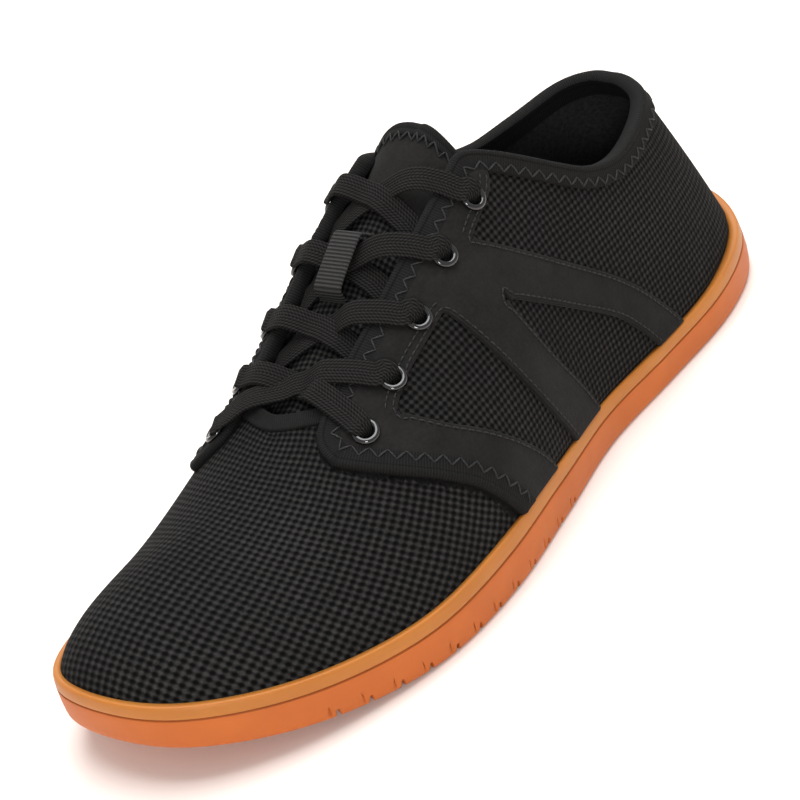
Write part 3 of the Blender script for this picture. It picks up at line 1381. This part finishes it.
def lace_run(i, side, on_top, over_end):
    start, end = eyelet_place(i, side), eyelet_place(i + 1, -side)
    low = TONGUE_TOP + 1.8 * FIT + LACE_THICK / 2
    crossing = low + (LACE_THICK - 0.2 if on_top else 0)
    over = FACING_TOP + 1.6 * FIT + LACE_THICK / 2
    start_edge, end_edge = throat_angle(start[0], side), throat_angle(end[0], -side)
    reach = EYELET_FLANGE + FIT + 0.4

    def turn(spot, way):
        a, b = skin(spot[0], way * spot[1]), skin(spot[0], way * (spot[1] - 0.1))
        return reach / (np.linalg.norm(a - b) / 0.1)

    start_angle = start[1] - turn(start, side)
    end_angle = end[1] - turn(end, -side) if over_end else end_edge - 0.06
    centres, ups = [], []

    def add(place, angle, offset):
        centres.append(skin(place, side * angle, offset))
        ups.append(skin_normal(place, side * angle))

    def hole(spot, way, offsets):
        for inward, offset in offsets:
            t = inward / (reach / turn(spot, way))
            add(spot[0], (spot[1] - t) * (1 if way == side else -1), offset)

    rise = over + 0.5
    hole(start, side, [(0.0, -2.2), (0.1, 0.2), (0.35, 2.1), (1.3, rise + 0.1), (2.6, rise + 0.25)])
    steps = 13
    for k in range(steps + 1):
        t = k / steps
        angle = start_angle + (-end_angle - start_angle) * t
        place_now = start[0] + (end[0] - start[0]) * (start[1] - angle) / (start[1] + end[1])
        offset = crossing
        if angle > 0:
            offset += (over - crossing) * ease((angle - 0.05) / (start_edge - 0.12))
        elif over_end:
            offset += (over - crossing) * ease((-angle - 0.05) / (end_edge - 0.12))
        else:
            offset += (low - crossing) * ease((-angle - 0.12) / 0.12)
        add(place_now, angle, offset)
    if over_end:
        hole(end, -side, [(2.6, rise + 0.25), (1.3, rise + 0.1), (0.35, 2.1), (0.1, 0.2), (0.0, -2.2)])
    else:
        hole(end, -side, [(3.4, low), (1.2, low + 0.1), (0.2, -1.7), (0.0, 0.4), (0.0, 1.4)])
    centres, ups = np.array(centres), np.array(ups)
    path, at = smooth_path(centres, 64)
    normals, _ = smooth_path(ups, 64)
    narrow = 4.1
    widths = narrow + (LACE_WIDTH - narrow) * ease((at - 2.6) / 5.5)
    widths = np.minimum(widths, narrow + (LACE_WIDTH - narrow) * ease((at[-1] - 2.6 - at) / 5.5))
    thicks = LACE_THICK * (1 + 0.7 * (LACE_WIDTH - widths) / (LACE_WIDTH - narrow))
    # inside the holes the band runs along the hole's own axis, so its up turns to the path
    return band(framed(path, unit(normals + 1e-3)), widths, thicks, dish=0.12)


def joined_band(name, parts, materials):
    points, faces, flats, first = [], [], [], 0
    for loops, flat in parts:
        n, m = loops.shape[:2]
        points.append(loops.reshape(-1, 3))
        flats.append(flat.reshape(-1, 2))
        faces += loop_faces(n, m, first)
        first += n * m
    piece = mesh_object(name, np.vstack(points), faces, materials, uv=np.vstack(flats))
    closed(piece, 0)
    return piece


for i in range(PAIRS - 1):
    outer_on_top, last = i % 2 == 1, i == PAIRS - 2
    parts = [lace_run(i, 1, outer_on_top, last), lace_run(i, -1, not outer_on_top, last)]
    piece = joined_band("lace_band_" + str(i + 1), parts, [braid_finish])
    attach(piece, "root")
    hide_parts("lace_" + str(i + 1))
print("laces:", PAIRS - 1, "crossings")

# %% Tongue loop
middle = (eyelet_place(1, 1)[0] + eyelet_place(2, -1)[0]) / 2 + 0.02
centre = skin(middle, 0.0)
ahead = unit(skin(middle + 0.1, 0.0) - skin(middle - 0.1, 0.0))
across_way = unit(np.cross(ahead, skin_normal(middle, 0.0)))
rise = -unit(np.cross(ahead, across_way))
LOOP_LENGTH, LOOP_WIDTH, LOOP_THICK = 22, 10, 1.1
room = 2 * LACE_THICK + 6 * FIT
foot = TONGUE_TOP + FIT + LOOP_THICK / 2
path = [(-0.5, foot), (-0.47, foot + 0.4), (-0.43, foot + room * 0.7), (-0.36, foot + room),
        (0, foot + room + 0.3), (0.36, foot + room), (0.43, foot + room * 0.7), (0.47, foot + 0.4),
        (0.5, foot)]
centres = np.array([centre + a * LOOP_LENGTH * ahead + h * rise for a, h in path])
line, _ = smooth_path(centres, 48)
ahead = unit(np.gradient(line, axis=0))
stations = [(c, across_way, np.cross(across_way, way)) for c, way in zip(line, ahead)]
loops, flat = band(stations, np.full(48, LOOP_WIDTH), np.full(48, LOOP_THICK))
loop_piece = joined_band("loop_webbing", [(loops, flat)], [webbing_finish])
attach(loop_piece, "root")
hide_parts("tongue_loop")

# %% [markdown]
# ## Eyelets with Geometry Nodes
# All ten eyelets are one rule: a turned ring on each point of a small guide mesh, stood up along
# the point's normal. The tree has named inputs and ends in real geometry, so the ring's sizes
# can be tried out in the modifier and the export still finds plain faces.

# %% Eyelet tree
def new_tree(name, inputs):
    tree = bpy.data.node_groups.new(name, "GeometryNodeTree")
    tree.interface.new_socket("Geometry", in_out="INPUT", socket_type="NodeSocketGeometry")
    for label, kind, value in inputs:
        made = tree.interface.new_socket(label, in_out="INPUT", socket_type="NodeSocket" + kind)
        if value is not None:
            made.default_value = value
    tree.interface.new_socket("Geometry", in_out="OUTPUT", socket_type="NodeSocketGeometry")
    return tree, tree.nodes.new("NodeGroupInput"), tree.nodes.new("NodeGroupOutput")


def add_node(tree, kind, links=(), **settings):
    node = tree.nodes.new(kind)
    for key, value in settings.items():
        setattr(node, key, value)
    for key, value in dict(links).items():
        if isinstance(value, bpy.types.NodeSocket):
            tree.links.new(value, node.inputs[key])
        else:
            node.inputs[key].default_value = value
    return node


def grown(name, guide, tree, values):
    """The tree's result on a guide mesh, as a plain mesh object."""
    modifier = guide.modifiers.new(name, "NODES")
    modifier.node_group = tree
    for item in tree.interface.items_tree:
        if item.item_type == "SOCKET" and item.in_out == "INPUT" and item.name in values:
            modifier[item.identifier] = values[item.name]
    piece = linked(name, applied(guide))
    guide.modifiers.remove(modifier)
    bpy.data.objects.remove(guide)
    return piece


def guide_mesh(name, points, edges=(), ups=None):
    mesh = bpy.data.meshes.new(name)
    mesh.from_pydata(((np.asarray(points) + SHIFT) / 1000).tolist(), [tuple(map(int, e)) for e in edges], [])
    if ups is not None:
        layer = mesh.attributes.new("up", "FLOAT_VECTOR", "POINT")
        layer.data.foreach_set("vector", np.asarray(ups, np.float32).ravel())
    return linked(name, mesh)


def finish_tree(tree, start, end, geometry):
    """Real, painted geometry at the tree's end."""
    real = add_node(tree, "GeometryNodeRealizeInstances", {0: geometry})
    painted = add_node(tree, "GeometryNodeSetMaterial",
                       {"Geometry": real.outputs[0], "Material": start.outputs["Finish"]})
    tree.links.new(painted.outputs[0], end.inputs[0])


tree, start, end = new_tree("Eyelets", [("Ring", "Float", 0.0031), ("Bead", "Float", 0.001),
                                        ("Flatness", "Float", 0.9), ("Finish", "Material", None)])
circle = add_node(tree, "GeometryNodeCurvePrimitiveCircle",
                  {"Resolution": 40, "Radius": start.outputs["Ring"]})
bead = add_node(tree, "GeometryNodeCurvePrimitiveCircle",
                {"Resolution": 14, "Radius": start.outputs["Bead"]})
ring = add_node(tree, "GeometryNodeCurveToMesh",
                {"Curve": circle.outputs[0], "Profile Curve": bead.outputs[0]})
size = add_node(tree, "ShaderNodeCombineXYZ", {"X": 1.0, "Y": 1.0, "Z": start.outputs["Flatness"]})
flat_ring = add_node(tree, "GeometryNodeTransform", {"Geometry": ring.outputs[0], "Scale": size.outputs[0]})
smooth = add_node(tree, "GeometryNodeSetShadeSmooth", {0: flat_ring.outputs[0]})
up = add_node(tree, "GeometryNodeInputNamedAttribute", {"Name": "up"}, data_type="FLOAT_VECTOR")
turned = add_node(tree, "FunctionNodeAlignRotationToVector", {"Vector": up.outputs[0]}, axis="Z")
spread = add_node(tree, "GeometryNodeInstanceOnPoints",
                  {"Points": start.outputs[0], "Instance": smooth.outputs[0], "Rotation": turned.outputs[0]})
finish_tree(tree, start, end, spread.outputs[0])
spots = np.array([skin(p, side * a, FACING_TOP + FIT + 0.25) for p, a, side in EYELET_SPOTS])
ups = np.array([skin_normal(p, side * a) for p, a, side in EYELET_SPOTS])
eyelets = grown("eyelet_rings", guide_mesh("eyelet_guide", spots, ups=ups), tree, {"Finish": enamel_finish})
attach(eyelets, "root")
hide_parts(*["eyelet_" + s + "_" + str(i + 1) for s in ("outer", "inner") for i in range(PAIRS)])
print("eyelets:", len(EYELET_SPOTS), "rings,", len(eyelets.data.polygons), "faces")

# %% [markdown]
# ## Stitches
# A stitch is a short thread that dips into the cloth at both ends. Guide edges are laid along
# lines at a set distance from a seam, and one tree grows a thread on every edge: a curve of a
# few points, raised in its middle along the cloth's normal and thinned at its ends.

# %% Stitch tree
tree, start, end = new_tree("Stitches", [("Thread", "Float", 0.00026), ("Lift", "Float", 0.0002),
                                         ("Finish", "Material", None)])
curves = add_node(tree, "GeometryNodeMeshToCurve", {0: start.outputs[0]})
finer = add_node(tree, "GeometryNodeResampleCurve", {"Curve": curves.outputs[0], "Count": 5})
share = add_node(tree, "GeometryNodeSplineParameter")
angle = add_node(tree, "ShaderNodeMath", {0: share.outputs["Factor"], 1: math.pi}, operation="MULTIPLY")
bow = add_node(tree, "ShaderNodeMath", {0: angle.outputs[0]}, operation="SINE")
up = add_node(tree, "GeometryNodeInputNamedAttribute", {"Name": "up"}, data_type="FLOAT_VECTOR")
amount = add_node(tree, "ShaderNodeMath", {0: bow.outputs[0], 1: start.outputs["Lift"]}, operation="MULTIPLY")
shift = add_node(tree, "ShaderNodeVectorMath",
                 {0: up.outputs[0], "Scale": amount.outputs[0]}, operation="SCALE")
raised = add_node(tree, "GeometryNodeSetPosition", {"Geometry": finer.outputs[0], "Offset": shift.outputs[0]})
waist = add_node(tree, "ShaderNodeMath", {0: bow.outputs[0], 1: 0.5, 2: 0.55}, operation="MULTIPLY_ADD")
round_ = add_node(tree, "GeometryNodeCurvePrimitiveCircle",
                  {"Resolution": 6, "Radius": start.outputs["Thread"]})
thread_mesh = add_node(tree, "GeometryNodeCurveToMesh",
                       {"Curve": raised.outputs[0], "Profile Curve": round_.outputs[0], "Fill Caps": True})
if "Scale" in thread_mesh.inputs:
    tree.links.new(waist.outputs[0], thread_mesh.inputs["Scale"])
soft = add_node(tree, "GeometryNodeSetShadeSmooth", {0: thread_mesh.outputs[0]})
finish_tree(tree, start, end, soft.outputs[0])
stitch_tree = tree


def level_lines(sheet, values):
    """Chains of data rows along the zero line of a field."""
    sign = values > 0
    rows = sheet.tris[sign[sheet.tris].any(1) & ~sign[sheet.tris].all(1)]
    links, spots = {}, {}
    for tri in rows.tolist():
        ends = []
        for a, b in ((tri[0], tri[1]), (tri[1], tri[2]), (tri[2], tri[0])):
            if sign[a] != sign[b]:
                key = (min(a, b), max(a, b))
                if key not in spots:
                    t = values[key[0]] / (values[key[0]] - values[key[1]])
                    spots[key] = sheet.data[key[0]] * (1 - t) + sheet.data[key[1]] * t
                ends.append(key)
        links.setdefault(ends[0], []).append(ends[1])
        links.setdefault(ends[1], []).append(ends[0])
    seen, lines = set(), []
    order = sorted(links, key=lambda k: len(links[k]))
    for head in order:
        if head in seen:
            continue
        run = [head]
        seen.add(head)
        while True:
            after = [k for k in links[run[-1]] if k not in seen]
            if not after:
                break
            run.append(after[0])
            seen.add(after[0])
        if len(run) > 4:
            lines.append(np.array([spots[k] for k in run]))
    return lines


def even_steps(line, pitch):
    arc = arc_of(skin(line[:, 0], line[:, 1]))
    count = max(2, int(round(arc[-1] / pitch)))
    at = np.linspace(0, arc[-1], count + 1)
    return np.stack([np.interp(at, arc, line[:, i]) for i in range(line.shape[1])], 1)


class Seam:
    """Collects threads as guide edges with the normal at each end."""
    def __init__(self):
        self.points, self.ups = [], []

    def run(self, line, pitch, offset, gap=0.22):
        spots = even_steps(line, pitch)
        p = skin(spots[:, 0], spots[:, 1], offset)
        n = skin_normal(spots[:, 0], spots[:, 1])
        for k in range(len(p) - 1):
            a, b = p[k], p[k + 1]
            self.points += [a + (b - a) * gap / 2, b - (b - a) * gap / 2]
            self.ups += [n[k], n[k + 1]]

    def grow(self, name, thread, lift, finish):
        n = len(self.points) // 2
        guide = guide_mesh(name + "_guide", self.points, [(2 * k, 2 * k + 1) for k in range(n)], self.ups)
        made = grown(name, guide, stitch_tree, {"Thread": thread, "Lift": lift, "Finish": finish})
        print(name + ":", n, "stitches,", len(made.data.polygons), "faces")
        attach(made, "root")


# %% Seams on the straps and eyestays
ROW_INSETS, ROW_PITCH = (1.3, 3.3), 2.3
rows_of = Seam()
for side, sheet in overlay_sheets.items():
    first, _, rim = joined(sheet)
    base = sheet.base()[first]
    spot = sheet.data[first[rim]].mean(1)
    clear = eyelet_holes(Sheet(spot), 4.5) > 0
    cutedge = rim[clear & (spot[:, 6] > BINDING_WIDTH + 0.6) & (lip_gap(base[rim].mean(1)) > 1.0)]
    gap = edge_distance(sheet.base(), base[cutedge[:, 0]], base[cutedge[:, 1]])
    for inset in ROW_INSETS:
        for line in level_lines(sheet, gap - inset):
            p = skin(line[:, 0], line[:, 1])
            keep = (line[:, 6] > BINDING_WIDTH + 0.8) & (lip_gap(p) > 1.2)
            if inset > 2:
                keep &= two_sides(Sheet(line), in_straps) < 1.0
            pieces = np.split(np.arange(len(line)), np.flatnonzero(np.diff(keep.astype(int))) + 1)
            for part in pieces:
                if keep[part[0]] and len(part) > 5:
                    rows_of.run(line[part], ROW_PITCH, OVERLAY_TOP + 0.02)
rows_of.grow("strap_stitches", 0.00027, 0.00022, thread_finish)

# %% Zigzag on the tape
ZIGZAG_PITCH, ZIGZAG_HALF, ZIGZAG_INSET = 2.5, 1.3, 1.6
zigzag = Seam()
for line in level_lines(quarter, quarter.data[:, 6] - (BINDING_WIDTH - ZIGZAG_INSET)):
    if arc_of(skin(line[:, 0], line[:, 1]))[-1] < 80:
        continue
    spots = even_steps(line, ZIGZAG_PITCH)
    p = skin(spots[:, 0], spots[:, 1])
    normal = skin_normal(spots[:, 0], spots[:, 1])
    sideways = unit(np.cross(np.gradient(p, axis=0), normal))
    way = np.where(np.arange(len(p)) % 2 == 0, ZIGZAG_HALF, -ZIGZAG_HALF)[:, None]
    q = p + sideways * way + normal * (OVERLAY_TOP + 0.06)
    for k in np.flatnonzero(lip_gap(p[:-1]) > 2.0):
        zigzag.points += [q[k], q[k + 1]]
        zigzag.ups += [normal[k], normal[k + 1]]
zigzag.grow("tape_stitches", 0.0003, 0.00018, thread_finish)

# %% Zigzag on the tongue
tongue_zigzag = Seam()
across = np.linspace(-0.93, 0.93, 23)
for k in range(len(across) - 1):
    ends = []
    for c, down in ((across[k], k % 2), (across[k + 1], (k + 1) % 2)):
        s = TONGUE_FIRST + (BOUND - 1.0 + 2.6 * down) / span_mm
        lift = 0.12 if down else 0.8
        a, b = tongue_point(s, c, 0.0, lift), tongue_point(s, c, 0.0, lift + 1)
        ends.append((a, unit(b - a)))
    tongue_zigzag.points += [e[0] for e in ends]
    tongue_zigzag.ups += [e[1] for e in ends]
tongue_zigzag.grow("tongue_stitches", 0.0003, 0.00018, thread_finish)

# %% [markdown]
# ## Camera, floor and light
# The camera stands where the photograph was taken from, with its roll, and needs no shift. A plain
# pale floor and large soft lights give the studio look.

# %% Camera
camera_data = bpy.data.cameras.new("view")
camera = linked("view", camera_data)
FOCAL_PX, PHOTO_PX = 2823.12, 800
TURN = np.array([[-0.576816, 0.776252, -0.254394], [0.542448, 0.131141, -0.829791],
                 [-0.610765, -0.616632, -0.49672]])
spot = (np.array([662.656, 509.487, 447.319]) + SHIFT) / 1000
axes = Matrix([TURN[0], -TURN[1], -TURN[2]]).transposed().to_4x4()
camera.matrix_world = Matrix.Translation(Vector(spot)) @ axes
camera_data.sensor_width = 36
camera_data.lens = 36 * FOCAL_PX / PHOTO_PX
camera_data.clip_start, camera_data.clip_end = 0.05, 50
bpy.context.scene.camera = camera

# %% Floor
floor_material = bpy.data.materials.new("floor_paint")
floor_material.use_nodes = True
paint = floor_material.node_tree.nodes["Principled BSDF"]
paint.inputs["Base Color"].default_value = (0.95, 0.885, 0.84, 1)
paint.inputs["Roughness"].default_value = 0.9
floor_mesh = bpy.data.meshes.new("floor")
floor_mesh.from_pydata([(-6, -6, 0), (6, -6, 0), (6, 6, 0), (-6, 6, 0)], [], [(0, 1, 2, 3)])
floor_mesh.materials.append(floor_material)
floor = linked("floor", floor_mesh)


# %% Light
def softbox(name, place_m, aim, size, power):
    data = bpy.data.lights.new(name, "AREA")
    data.shape, data.size, data.energy = "SQUARE", size, power
    lamp = linked(name, data)
    lamp.location = place_m
    lamp.rotation_euler = (Vector(aim) - Vector(place_m)).to_track_quat("-Z", "Y").to_euler()


softbox("over", (-0.2, -0.1, 1.5), (0, 0, 0), 1.3, 27)
softbox("front", (1.2, 1.0, 0.7), (0, 0, 0.03), 0.32, 9)
softbox("rear", (-1.0, -0.8, 0.9), (0, 0, 0.05), 0.8, 6)
world = bpy.data.worlds.new("room")
bpy.context.scene.world = world
world.use_nodes = True
world.node_tree.nodes["Background"].inputs["Color"].default_value = (1, 0.99, 0.98, 1)
world.node_tree.nodes["Background"].inputs["Strength"].default_value = 0.55
bpy.context.scene.view_settings.view_transform = "Standard"
